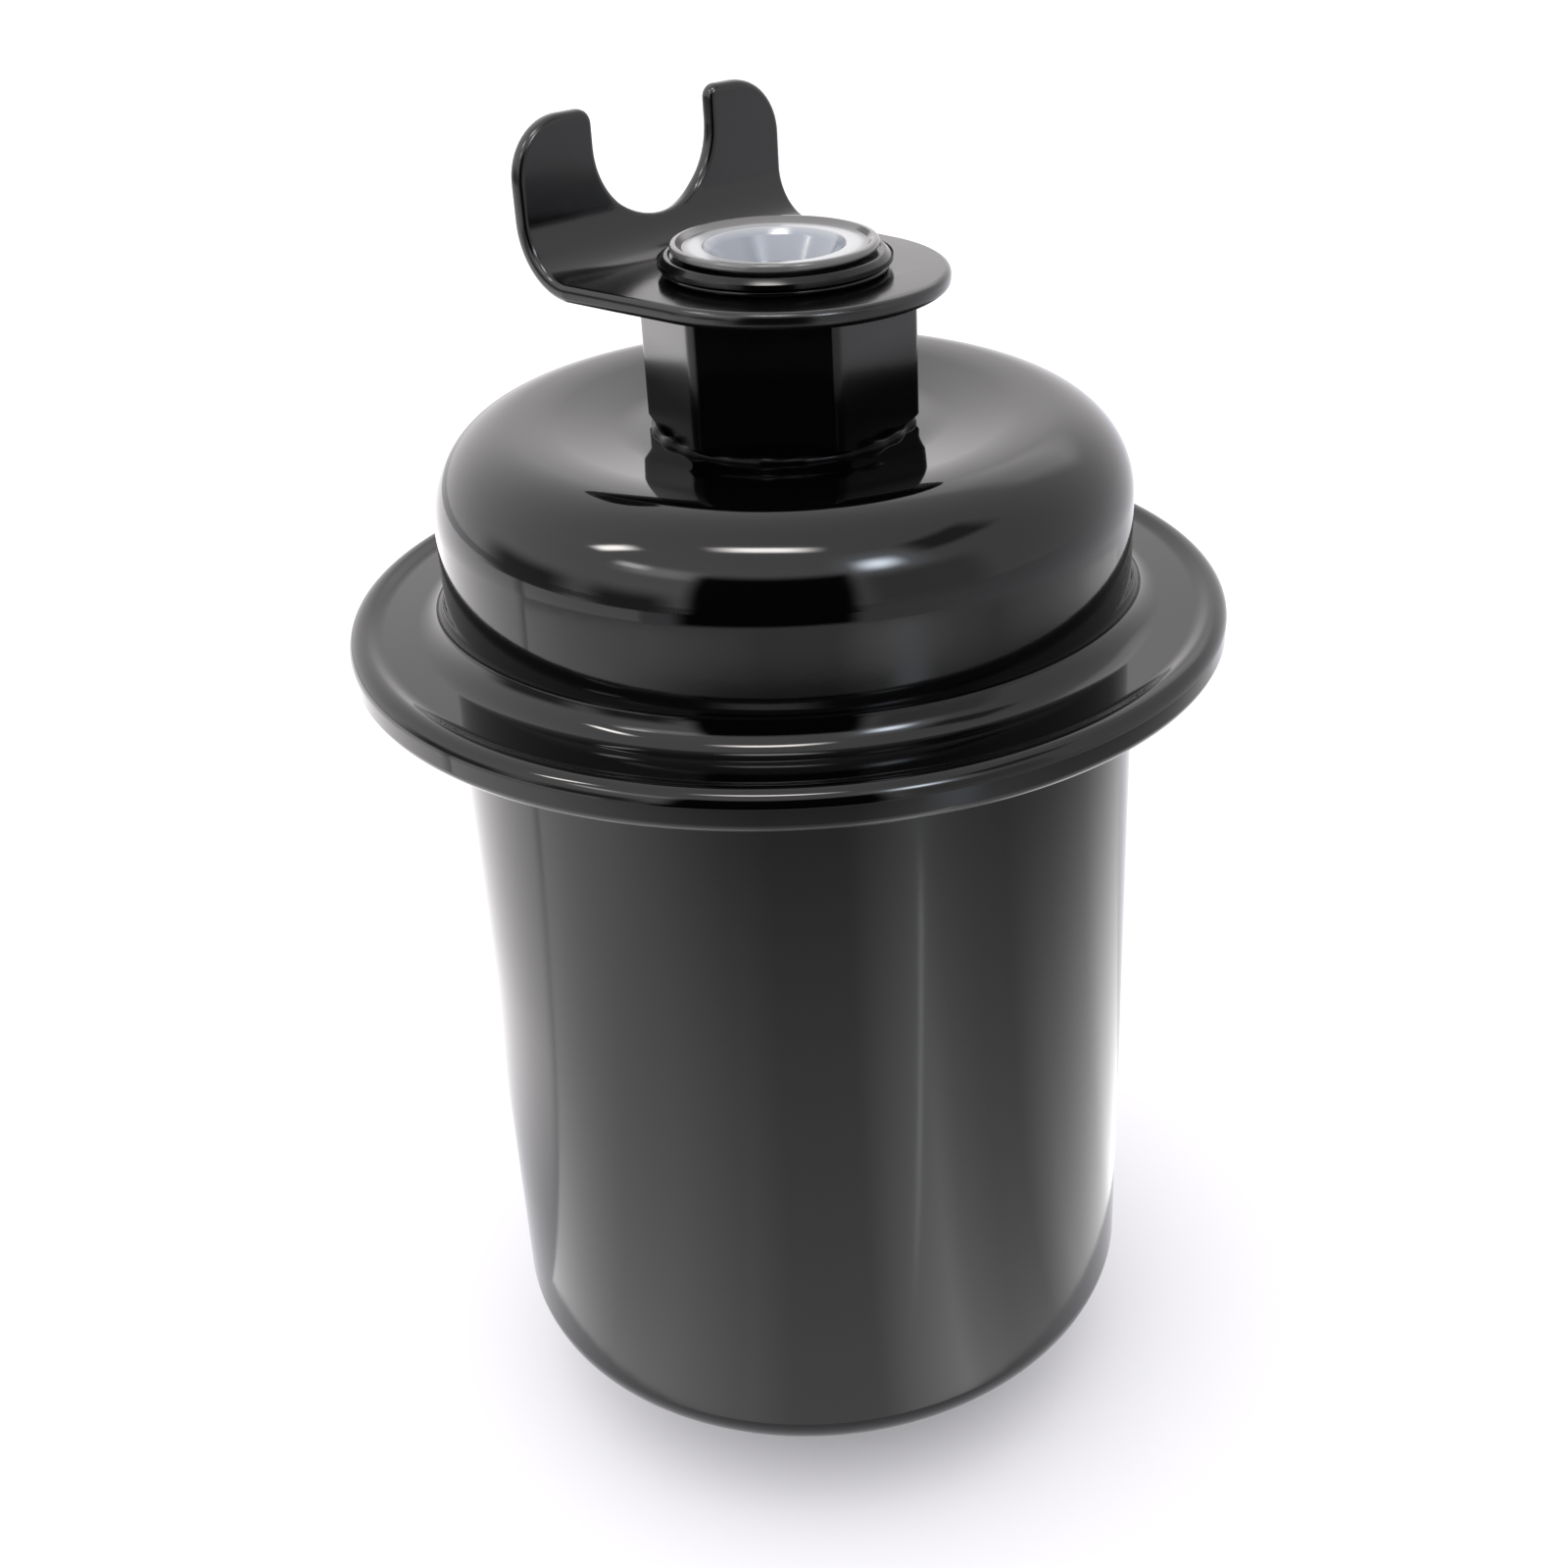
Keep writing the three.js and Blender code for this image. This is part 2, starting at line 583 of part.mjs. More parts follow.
// Perforated tube that keeps the paper from collapsing inwards.
function makeCentreTube() {
  const low = MEDIUM_LOW_Z - POTTING - GAP;
  const high = MEDIUM_TOP_Z + POTTING + GAP;
  const rows = 4;
  const perRow = 6;
  const pitch = (MEDIUM_TOP_Z - MEDIUM_LOW_Z) / rows;
  const drills = [];
  for (let row = 0; row < rows; row++) {
    for (let i = 0; i < perRow; i++) {
      const turn = (2 * Math.PI * (i + (row % 2) / 2)) / perRow;
      const drill = new THREE.CylinderGeometry(TUBE_HOLE_R, TUBE_HOLE_R, 4, 8)
        .rotateZ(Math.PI / 2)
        .translate(TUBE_R, 0, MEDIUM_LOW_Z + pitch * (row + 0.5));
      drills.push(solid(drill.rotateZ(turn)));
    }
  }
  const tube = solid(ring(TUBE_R - TUBE_WALL, TUBE_R, low, high));
  return geometryOf(tube.subtract(wasm.Manifold.union(drills)));
}

// Lipped ring that seals the upper cap to the outlet's spigot.
function makeOutletGrommet() {
  const capTop = UPPER_CAP_Z + CAP_SHEET;
  const inner = SPIGOT_R + GAP;
  const outer = inner + GROMMET_WALL;
  const lipR = outer + 1.8;
  const top = capTop + 1.2;
  return turned([
    [inner, UPPER_CAP_Z - 2],
    [outer, UPPER_CAP_Z - 2],
    [outer, capTop + GAP],
    [lipR, capTop + GAP],
    [lipR, top],
    [inner, top],
  ], SMALL_SEGMENTS);
}

// ---- assembly ----
add("can", makeCan(), "can");
add("cover", makeCover(), "cover");
add("seam_gasket", makeSeamGasket(), "rubber");
add("outlet_fitting", makeOutletFitting(), "port");

const bracketGroup = new THREE.Group();
bracketGroup.rotation.z = radians(BRACKET_TURN);
add("banjo_bracket", makeBracket(), "bracket", bracketGroup);
part.add(bracketGroup);
add("bracket_washer", makeBracketWasher(), "port");

add("outlet_plug", makeOutletPlug(), "plug");
add("inlet_fitting", makeInletFitting(), "port");
add("inlet_flare_seat", makeFlareSeat(), "brass");
add("inlet_plug", makeInletPlug(), "plug");

add("inlet_diffuser", makeInletDiffuser(), "steel");
add("element_spring", makeElementSpring(), "steel");
add("lower_end_cap", makeLowerEndCap(), "steel");
add("lower_potting", makePotting(MEDIUM_LOW_Z - GAP - POTTING), "potting");
add("pleated_medium", makePleatedMedium(), "paper");
add("media_seam_clip", makeSeamClip(), "steel");
add("centre_tube", makeCentreTube(), "steel");
add("upper_potting", makePotting(MEDIUM_TOP_Z + GAP), "potting");
add("upper_end_cap", makeUpperEndCap(), "steel");
add("outlet_grommet", makeOutletGrommet(), "rubber");

export default part;
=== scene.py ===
import math
import random

import bmesh
import bpy
from mathutils import Matrix, Vector


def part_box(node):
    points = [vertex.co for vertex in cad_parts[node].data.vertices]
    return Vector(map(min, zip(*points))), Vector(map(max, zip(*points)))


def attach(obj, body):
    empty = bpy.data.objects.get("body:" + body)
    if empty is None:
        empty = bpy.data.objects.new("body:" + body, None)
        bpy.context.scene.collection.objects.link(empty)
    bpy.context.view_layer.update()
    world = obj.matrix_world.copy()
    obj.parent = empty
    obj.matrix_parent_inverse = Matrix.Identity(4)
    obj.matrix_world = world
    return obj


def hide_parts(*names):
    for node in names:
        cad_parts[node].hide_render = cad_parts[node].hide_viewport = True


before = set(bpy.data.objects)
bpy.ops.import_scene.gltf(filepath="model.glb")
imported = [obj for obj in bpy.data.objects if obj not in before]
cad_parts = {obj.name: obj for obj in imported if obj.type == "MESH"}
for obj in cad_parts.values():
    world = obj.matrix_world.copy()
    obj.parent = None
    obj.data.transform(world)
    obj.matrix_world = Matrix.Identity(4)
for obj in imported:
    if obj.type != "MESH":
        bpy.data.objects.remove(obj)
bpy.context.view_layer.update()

# The pieces are drawn in millimetres, and MM turns them into Blender's metres.
# The studio and the camera are placed in metres.
MM = 0.001


def box_mm(node):
    low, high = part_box(node)
    return low / MM, high / MM


can_low, can_high = box_mm("can")
cover_low, cover_high = box_mm("cover")
outlet_low, outlet_high = box_mm("outlet_fitting")
bracket_low, bracket_high = box_mm("banjo_bracket")
washer_low, washer_high = box_mm("bracket_washer")
outlet_plug_low, outlet_plug_high = box_mm("outlet_plug")
inlet_high = box_mm("inlet_fitting")[1]
seat_high = box_mm("inlet_flare_seat")[1]
inlet_plug_low, inlet_plug_high = box_mm("inlet_plug")

# ---- dimensions shared by the pieces ----
SHEET = 0.8
GAP = 0.3
ROUND = 256  # steps round a large turned piece
SMALL_ROUND = 128
SHARP_ANGLE = 35  # degrees; edges that turn more than this stay crisp

CAN_R = 30.5
CAN_CORNER_R = 4.0
CROWN = 17.0  # flange to crest
FLANGE_Z = cover_high.z - CROWN
FLANGE_R = cover_high.x
HEM_INNER_R = 33.5
BEAD_R = 1.3
BEAD_Z = FLANGE_Z + 0.5 - BEAD_R
BEAD_LEAN = 25  # degrees
COVER_R = 30.05
COVER_CORNER_R = 7.2
CREST_R = 22.5
CREST_ARC_R = 20.0
PAD_R = 13.4
PAD_Z = FLANGE_Z + 15.75
PAD_BLEND_R = 12.0
TOP_SLOPE = 9.6  # degrees
PORT_HOLE_R = 8.3

HEX_R = 11.64
HEX_TURN = 22.3  # degrees from -Y towards +X to a corner
HEX_TOP_Z = bracket_low.z - 0.1
SEAT_Z = outlet_high.z
SEAT_R = 9.1
SEAT_RIM_R = 8.8  # the sealing face's rim, outside this, stands a little proud
SEAT_RELIEF = 0.15
COLLAR_R = 9.7
COLLAR_LOW_Z = washer_high.z + 0.1
NECK_R = 8.0
SPIGOT_R = 5.5
OUTLET_BORE_R = 5.35
OUTLET_MOUTH = 0.9  # 45 degree lead-in at the bore's mouth
OUTLET_BORE_LOW_Z = FLANGE_Z + 15.4
CHANNEL_R = 3.0
INLET_HEX_R = 10.97
INLET_BORE_R = 6.2
INLET_BORE_TOP_Z = seat_high.z + GAP
PLUG_CLEARANCE = 0.35  # plug stem to bore
PLUG_WALL = 0.9

BRACKET_TURN = 43.5  # degrees from +Y towards -X to the middle of the fork
PLATE = 1.5
EYE_R = 14.0
EYE_HOLE_R = 8.4
EYE_SHIFT = 0.7
FORK_Y = 13.85
FORK_HALF = 14.5
BEND_R = 4.2
FORK_TOP_Z = bracket_high.z
SLOT_R = 6.5
SLOT_Z = FLANGE_Z + 37.8
PRONG_OUTER_CORNER_R = 5.0
PRONG_INNER_CORNER_R = 1.2


# ---- mesh helpers ----
def spaced(start, end, steps):
    """Values from start to end in equal steps."""
    return [start + (end - start) * i / steps for i in range(steps + 1)]


def arc(x, y, radius, start, end, steps):
    """Points on an arc about (x, y), from one angle to another in degrees."""
    points = []
    for degrees in spaced(start, end, steps):
        angle = math.radians(degrees)
        points.append((x + radius * math.cos(angle), y + radius * math.sin(angle)))
    return points


def rounded(corners, steps=6):
    """Closed outline from (x, y, radius) corners, each rounded to its radius."""
    outline = []
    for i, (x, y, radius) in enumerate(corners):
        here = Vector((x, y))
        if radius == 0:
            outline.append((x, y))
            continue
        before = (Vector(corners[i - 1][:2]) - here).normalized()
        after = (Vector(corners[(i + 1) % len(corners)][:2]) - here).normalized()
        half = before.angle(after) / 2
        centre = here + (before + after).normalized() * radius / math.sin(half)
        start = here + before * radius / math.tan(half) - centre
        sweep = start.angle_signed(here + after * radius / math.tan(half) - centre)
        first = math.atan2(start.y, start.x)
        for k in range(steps + 1):
            angle = first - sweep * k / steps
            outline.append((centre.x + radius * math.cos(angle), centre.y + radius * math.sin(angle)))
    return outline


def new_object(name, bm, body, material, nodes):
    """Links a finished bmesh, in millimetres, as a piece that stands for CAD nodes."""
    bmesh.ops.scale(bm, vec=(MM, MM, MM), verts=bm.verts)
    bmesh.ops.remove_doubles(bm, verts=bm.verts, dist=1e-7)
    bmesh.ops.recalc_face_normals(bm, faces=bm.faces)
    mesh = bpy.data.meshes.new(name)
    bm.to_mesh(mesh)
    bm.free()
    for face in mesh.polygons:
        face.use_smooth = True
    mesh.set_sharp_from_angle(angle=math.radians(SHARP_ANGLE))
    mesh.materials.append(material)
    made = bpy.data.objects.new(name, mesh)
    bpy.context.scene.collection.objects.link(made)
    weighted = made.modifiers.new("weighted", "WEIGHTED_NORMAL")
    weighted.keep_sharp = True
    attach(made, body)
    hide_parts(*nodes)


def add_rings(bm, rings, closed):
    """Joins rings of points, each with one point on the axis or one per step, into faces."""
    rows = []
    for ring in rings:
        rows.append([bm.verts.new(p) for p in ring])
    pairs = list(zip(rows, rows[1:]))
    if closed:
        pairs.append((rows[-1], rows[0]))
    for a, b in pairs:
        steps = max(len(a), len(b))
        for i in range(steps):
            j = (i + 1) % steps
            corners = [a[i % len(a)], a[j % len(a)], b[j % len(b)], b[i % len(b)]]
            unique = list(dict.fromkeys(corners))
            if len(unique) > 2:
                bm.faces.new(unique)


def circle(r, z, steps):
    """One turn of points round the axis, or the single point on it."""
    if r < 1e-9:
        return [(0, 0, z)]
    turn = [2 * math.pi * i / steps for i in range(steps)]
    return [(r * math.cos(t), r * math.sin(t), z) for t in turn]


def add_lathe(bm, profile, steps=ROUND):
    """A turned surface that ends where its profile ends."""
    add_rings(bm, [circle(r, z, steps) for r, z in profile], closed=False)


def add_turned(bm, profile, steps=ROUND):
    """A solid of revolution. The profile closes on itself unless it starts and ends on the axis."""
    on_axis = profile[0][0] < 1e-9 and profile[-1][0] < 1e-9
    add_rings(bm, [circle(r, z, steps) for r, z in profile], closed=not on_axis)


def turned(profile, steps=ROUND):
    bm = bmesh.new()
    add_turned(bm, profile, steps)
    return bm


# ---- materials ----
def node_material(name):
    material = bpy.data.materials.new(name)
    material.use_nodes = True
    nodes = material.node_tree.nodes
    return material, nodes, material.node_tree.links, nodes["Principled BSDF"]


def add_noise(nodes, links, scale, detail):
    """Noise in the object's own space, in features per metre."""
    coords = nodes.new("ShaderNodeTexCoord")
    noise = nodes.new("ShaderNodeTexNoise")
    noise.inputs["Scale"].default_value = scale
    noise.inputs["Detail"].default_value = detail
    links.new(coords.outputs["Object"], noise.inputs["Vector"])
    return noise.outputs["Fac"]


def remap(nodes, links, value, low, high):
    """Turns noise between 0.3 and 0.7 into values between low and high."""
    node = nodes.new("ShaderNodeMapRange")
    node.inputs["From Min"].default_value = 0.3
    node.inputs["From Max"].default_value = 0.7
    node.inputs["To Min"].default_value = low
    node.inputs["To Max"].default_value = high
    links.new(value, node.inputs["Value"])
    return node.outputs["Result"]


def share_of(nodes, links, value, full):
    """Turns a value between 0 and full into a share between 0 and 1."""
    node = nodes.new("ShaderNodeMapRange")
    node.inputs["From Max"].default_value = full
    links.new(value, node.inputs["Value"])
    return node.outputs["Result"]


def add_bump(nodes, links, shader, height, strength):
    """Bumps of at most 0.02 mm in the shading."""
    bump = nodes.new("ShaderNodeBump")
    bump.inputs["Strength"].default_value = strength
    bump.inputs["Distance"].default_value = 0.02 * MM
    links.new(height, bump.inputs["Height"])
    links.new(bump.outputs["Normal"], shader.inputs["Normal"])


def paint(name, color, ior, roughness, spread, peel):
    """Baked enamel: orange peel in the surface, and patches that are a little duller."""
    material, nodes, links, shader = node_material(name)
    shader.inputs["Base Color"].default_value = (*color, 1)
    shader.inputs["IOR"].default_value = ior
    patches = add_noise(nodes, links, 60, 4)
    dullness = remap(nodes, links, patches, roughness - spread, roughness + spread)
    links.new(dullness, shader.inputs["Roughness"])
    skin = add_noise(nodes, links, 700, 2)
    add_bump(nodes, links, shader, skin, peel)
    return material


def metal(name, color, roughness, grain_scale):
    material, nodes, links, shader = node_material(name)
    shader.inputs["Base Color"].default_value = (*color, 1)
    shader.inputs["Metallic"].default_value = 1
    grain = add_noise(nodes, links, grain_scale, 5)
    links.new(remap(nodes, links, grain, roughness * 0.8, roughness * 1.25), shader.inputs["Roughness"])
    add_bump(nodes, links, shader, grain, 0.15)
    return material


def plastic(name, color, roughness, subsurface, bump=0.1):
    material, nodes, links, shader = node_material(name)
    shader.inputs["Base Color"].default_value = (*color, 1)
    shader.inputs["Subsurface Weight"].default_value = subsurface
    shader.inputs["Subsurface Radius"].default_value = (1, 1, 1)
    shader.inputs["Subsurface Scale"].default_value = 0.8 * MM
    grain = add_noise(nodes, links, 900, 3)
    links.new(remap(nodes, links, grain, roughness * 0.85, roughness * 1.15), shader.inputs["Roughness"])
    add_bump(nodes, links, shader, grain, bump)
    return material


def shade_below(material, low, high, shaded_share):
    """Painted shade: fades a paint's gloss to a share of itself, between two heights in millimetres, so the
    faces below read darker.
    """
    nodes, links = material.node_tree.nodes, material.node_tree.links
    glossiest = 0.5
    coords = nodes.new("ShaderNodeTexCoord")
    split = nodes.new("ShaderNodeSeparateXYZ")
    links.new(coords.outputs["Object"], split.inputs[0])
    gloss = nodes.new("ShaderNodeMapRange")
    gloss.interpolation_type = "SMOOTHSTEP"
    gloss.inputs["From Min"].default_value = low * MM
    gloss.inputs["From Max"].default_value = high * MM
    gloss.inputs["To Min"].default_value = glossiest * shaded_share
    gloss.inputs["To Max"].default_value = glossiest
    links.new(split.outputs["Z"], gloss.inputs["Value"])
    links.new(gloss.outputs["Result"], nodes["Principled BSDF"].inputs["Specular IOR Level"])


def shade_by_radius(material, stops):
    """Paints shade and light into a turned piece's colour by distance from the axis: (millimetres, colour)
    stops.
    """
    nodes, links = material.node_tree.nodes, material.node_tree.links
    coords = nodes.new("ShaderNodeTexCoord")
    flat = nodes.new("ShaderNodeVectorMath")
    flat.operation = "MULTIPLY"
    flat.inputs[1].default_value = (1, 1, 0)
    links.new(coords.outputs["Object"], flat.inputs[0])
    length = nodes.new("ShaderNodeVectorMath")
    length.operation = "LENGTH"
    links.new(flat.outputs["Vector"], length.inputs[0])
    reach = stops[-1][0]
    share = share_of(nodes, links, length.outputs["Value"], reach * MM)
    ramp = nodes.new("ShaderNodeValToRGB")
    elements = ramp.color_ramp.elements
    elements.remove(elements[1])
    for i, (radius, color) in enumerate(stops):
        stop = elements[0] if i == 0 else elements.new(radius / reach)
        stop.position = radius / reach
        stop.color = (*color, 1)
    links.new(share, ramp.inputs["Fac"])
    links.new(ramp.outputs["Color"], nodes["Principled BSDF"].inputs["Base Color"])


can_paint = paint("can_paint", (0.0009, 0.0008, 0.0008), 1.35, 0.10, 0.02, 0.10)
cover_paint = paint("cover_paint", (0.0006, 0.0006, 0.0007), 1.35, 0.06, 0.015, 0.08)
port_paint = paint("port_paint", (0.0006, 0.0006, 0.0007), 1.31, 0.16, 0.03, 0.15)
# painted shade: the port paint reflects less towards the hexagon's foot, so the hexagon's lower faces read
# darker
shade_below(port_paint, PAD_Z + 3.5, PAD_Z + 9, shaded_share=0.2)
bracket_paint = paint("bracket_paint", (0.0012, 0.0012, 0.0014), 1.40, 0.17, 0.03, 0.15)
plug_plastic = plastic("plug_plastic", (0.24, 0.25, 0.26), 0.16, 0.0, 0.02)
# painted shade and light on the plug: darker in the hollow, at its edge and towards the rim, standing in for
# shade and for the black port seen through the plastic; lighter in the bowl
shade_by_radius(plug_plastic, [
    (0, (0.25, 0.26, 0.28)),
    (5.5, (0.20, 0.22, 0.25)),
    (6.1, (0.31, 0.32, 0.33)),
    (6.9, (0.28, 0.29, 0.30)),
    (7.5, (0.10, 0.10, 0.10)),
    (8.7, (0.06, 0.06, 0.06)),
])
tinned_steel = metal("tinned_steel", (0.62, 0.62, 0.62), 0.35, 500)
spring_steel = metal("spring_steel", (0.45, 0.44, 0.42), 0.35, 900)
seat_brass = metal("seat_brass", (0.80, 0.62, 0.30), 0.25, 600)
potting = plastic("potting", (0.16, 0.42, 0.20), 0.45, 0.1)
filter_paper = plastic("filter_paper", (0.78, 0.58, 0.26), 0.9, 0.0)
nitrile = plastic("nitrile", (0.03, 0.03, 0.03), 0.7, 0.0)


# ---- can and cover ----
def make_can():
    flange_top = FLANGE_Z - SHEET - GAP
    flange_low = flange_top - SHEET
    inner = CAN_R - SHEET
    corner = CAN_R - CAN_CORNER_R
    corner_z = can_low.z + CAN_CORNER_R
    neck_r = 1.2
    profile = [
        (PORT_HOLE_R, can_low.z),
        *arc(corner, corner_z, CAN_CORNER_R, -90, 0, 24),
        *arc(CAN_R + neck_r, flange_low - neck_r, neck_r, 180, 90, 8),
        (can_high.x, flange_low),
        (can_high.x, flange_top),
        (inner, flange_top),
        *arc(corner, corner_z, CAN_CORNER_R - SHEET, 0, -90, 16),
        (PORT_HOLE_R, can_low.z + SHEET),
    ]
    new_object("can_shell", turned(profile), "filter", can_paint, ["can"])


def cover_top(offset, steps):
    """The cover's line from the wall over the crest to the pad, offset inwards."""
    corner = COVER_R - COVER_CORNER_R
    crest_centre_z = cover_high.z - CREST_ARC_R
    rise = math.sqrt((CREST_ARC_R - COVER_CORNER_R) ** 2 - (corner - CREST_R) ** 2)
    join = math.degrees(math.atan2(rise, corner - CREST_R))
    blend_start = PAD_R - PAD_BLEND_R * math.tan(math.radians(TOP_SLOPE / 2))
    return [
        *arc(corner, crest_centre_z + rise, COVER_CORNER_R - offset, 0, join, steps),
        *arc(CREST_R, crest_centre_z, CREST_ARC_R - offset, join, 90 + TOP_SLOPE, steps)[1:],
        *arc(blend_start, PAD_Z + PAD_BLEND_R, PAD_BLEND_R + offset, -90 + TOP_SLOPE, -90, 6),
        (PORT_HOLE_R, PAD_Z - offset),
    ]


def make_cover():
    hem_low = cover_low.z
    fold = 1.0  # outside of the turn under the flange
    fillet = 2.6  # flange to wall
    hollow = 2.0  # flange to bead
    end = HEM_INNER_R + SHEET / 2
    inner = COVER_R - SHEET
    bead = FLANGE_R - BEAD_R
    bead_start = 35.4
    profile = [
        *arc(end, hem_low + SHEET / 2, SHEET / 2, 90, 270, 8),
        *arc(FLANGE_R - fold, hem_low + fold, fold, -90, 0, 12),
        *arc(bead, BEAD_Z, BEAD_R, 0, 90 + BEAD_LEAN, 18),
        *arc(bead_start, FLANGE_Z + hollow, hollow, -90 + BEAD_LEAN, -90, 8),
        *arc(COVER_R + fillet, FLANGE_Z + fillet, fillet, 270, 180, 16),
        *cover_top(0, 28),
        *reversed(cover_top(SHEET, 12)),
        (inner, FLANGE_Z - SHEET),
        (bead, FLANGE_Z - SHEET),
        *arc(bead, BEAD_Z, BEAD_R - SHEET, 90, 0, 6),
        (FLANGE_R - SHEET, hem_low + SHEET),
    ]
    new_object("cover_shell", turned(profile), "filter", cover_paint, ["cover"])


# ---- ports ----
def hex_outline(corner_r, edge_r, turn):
    """A hexagon with rounded edges, with points along its flats for the chamfers to curve on."""
    corners = []
    for i in range(6):
        angle = math.radians(turn - 90 + 60 * i)
        corners.append((corner_r * math.cos(angle), corner_r * math.sin(angle), edge_r))
    points = rounded(corners, 6)
    outline = []
    for i, (x, y) in enumerate(points):
        nx, ny = points[(i + 1) % len(points)]
        pieces = 16 if math.hypot(nx - x, ny - y) > edge_r * 2 else 1
        for k in range(pieces):
            outline.append((x + (nx - x) * k / pieces, y + (ny - y) * k / pieces))
    return outline


def add_hex(bm, corner_r, edge_r, low, high, inner_r, low_cut, high_cut):
    """A hexagonal nut's outside: flats with their corners turned off to cones at both ends."""
    slope = math.tan(math.radians(30))
    rows = [[] for _ in range(6)]
    for x, y in hex_outline(corner_r, edge_r, HEX_TURN):
        r = math.hypot(x, y)
        ux, uy = x / r, y / r
        low_r = min(r, corner_r - low_cut)
        high_r = min(r, corner_r - high_cut)
        stops = [
            (inner_r, low),
            (low_r, low),
            (r, low + (r - low_r) * slope),
            (r, high - (r - high_r) * slope),
            (high_r, high),
            (inner_r, high),
        ]
        for row, (radius, z) in zip(rows, stops):
            row.append((ux * radius, uy * radius, z))
    add_rings(bm, rows, closed=True)


def add_thread(bm, bore_r, depth, pitch, low, high, steps=SMALL_ROUND, cuts=8):
    """A right-hand internal thread: a bore whose wall rises and falls with height and turn."""
    flat = 0.15  # cut off the wave at crest and root, as a share of the depth
    rows = []
    count = int((high - low) / pitch * cuts)
    for k in range(count + 1):
        z = low + (high - low) * k / count
        row = []
        for i in range(steps):
            turn = 2 * math.pi * i / steps
            phase = (z / pitch - turn / (2 * math.pi)) % 1.0
            wave = abs(2 * phase - 1)
            fade = min(1, (z - low) / pitch, (high - z) / pitch)
            cut = min(1, max(0, wave * (1 + 2 * flat) - flat))
            r = bore_r + depth * cut * max(0, fade)
            row.append((r * math.cos(turn), r * math.sin(turn), z))
        rows.append(row)
    add_rings(bm, rows, closed=False)


def add_weld(bm):
    """The painted weld round the hexagon's foot: a bead whose width wanders a little."""
    wander = random.Random(5)
    waves = [(wander.uniform(0.02, 0.07), wander.randint(5, 23), wander.uniform(0, 6.3)) for _ in range(5)]
    middle_r = 10.7
    bead_r = 0.55
    sunk = 0.15  # how far the bead goes on under the surface at each side, as a share of half a turn
    rows = []
    for k in range(13):
        around = math.pi * (k / 12 * (1 + 2 * sunk) - sunk)
        row = []
        for i in range(SMALL_ROUND):
            turn = 2 * math.pi * i / SMALL_ROUND
            swell = sum(depth * math.sin(count * turn + start) for depth, count, start in waves)
            r = middle_r + (bead_r + swell) * math.cos(around)
            z = PAD_Z + (bead_r + swell) * math.sin(around)
            row.append((r * math.cos(turn), r * math.sin(turn), z))
        rows.append(row)
    add_rings(bm, rows, closed=False)


def make_outlet_fitting():
    bm = bmesh.new()
    low = PAD_Z + GAP
    corner_r = HEX_R + 0.12  # rounding the edges takes this back
    add_hex(bm, corner_r, 1.2, low, HEX_TOP_Z, inner_r=NECK_R - 0.5, low_cut=1.0, high_cut=0.6)
    add_weld(bm)
    shoulder_z = PAD_Z - 4
    relieved_z = SEAT_Z - SEAT_RELIEF
    thread_high = SEAT_Z - OUTLET_MOUTH
    outside = rounded([
        (CHANNEL_R, outlet_low.z, 0),
        (SPIGOT_R, outlet_low.z, 0.3),
        (SPIGOT_R, shoulder_z, 0),
        (NECK_R, shoulder_z, 0),
        (NECK_R, COLLAR_LOW_Z, 0),
        (COLLAR_R, COLLAR_LOW_Z, 0.45),
        (COLLAR_R, SEAT_Z - 0.6, 0.5),
        (SEAT_R, SEAT_Z, 0.3),
        (SEAT_RIM_R, SEAT_Z, 0.05),
        (SEAT_RIM_R - SEAT_RELIEF, relieved_z, 0.05),
        (OUTLET_BORE_R + OUTLET_MOUTH, relieved_z, 0.05),
        (OUTLET_BORE_R, thread_high, 0),
    ], 5)
    floor = [(OUTLET_BORE_R, OUTLET_BORE_LOW_Z), (CHANNEL_R, OUTLET_BORE_LOW_Z), outside[0]]
    add_lathe(bm, outside, SMALL_ROUND)
    add_lathe(bm, floor, SMALL_ROUND)
    add_thread(bm, OUTLET_BORE_R, depth=0.6, pitch=1.25, low=OUTLET_BORE_LOW_Z, high=thread_high)
    new_object("outlet_port", bm, "filter", port_paint, ["outlet_fitting"])


def make_inlet_fitting():
    bm = bmesh.new()
    add_hex(bm, INLET_HEX_R, 0.5, 0, can_low.z - GAP, inner_r=NECK_R - 0.5, low_cut=0.9, high_cut=0.0)
    mouth = 1.0
    outside = rounded([
        (INLET_BORE_R + mouth, 0, 0),
        (NECK_R - 0.2, 0, 0),
        (NECK_R, 1, 0),
        (NECK_R, inlet_high.z, 0.3),
        (CHANNEL_R, inlet_high.z, 0.2),
        (CHANNEL_R, INLET_BORE_TOP_Z, 0),
        (INLET_BORE_R, INLET_BORE_TOP_Z, 0),
    ], 5)
    add_lathe(bm, [(INLET_BORE_R, mouth), *outside], SMALL_ROUND)
    add_thread(bm, INLET_BORE_R, depth=0.7, pitch=1.5, low=mouth, high=INLET_BORE_TOP_Z)
    new_object("inlet_port", bm, "filter", port_paint, ["inlet_fitting"])


def make_bracket_washer():
    low, high = washer_low.z, washer_high.z
    profile = rounded([
        (NECK_R + 0.3, low, 0.05),
        (washer_high.x, low, 0.3),
        (washer_high.x, high, 0.3),
        (NECK_R + 0.3, high, 0.05),
    ], 4)
    ring = turned(profile, SMALL_ROUND)
    new_object("washer_ring", ring, "filter", port_paint, ["bracket_washer"])


# ---- bracket ----
def touch_angle(across, along):
    """Where a line from a corner beside the eye touches its round end, in degrees up from +X."""
    return math.degrees(math.atan2(along, across) - math.acos(EYE_R / math.hypot(across, along)))


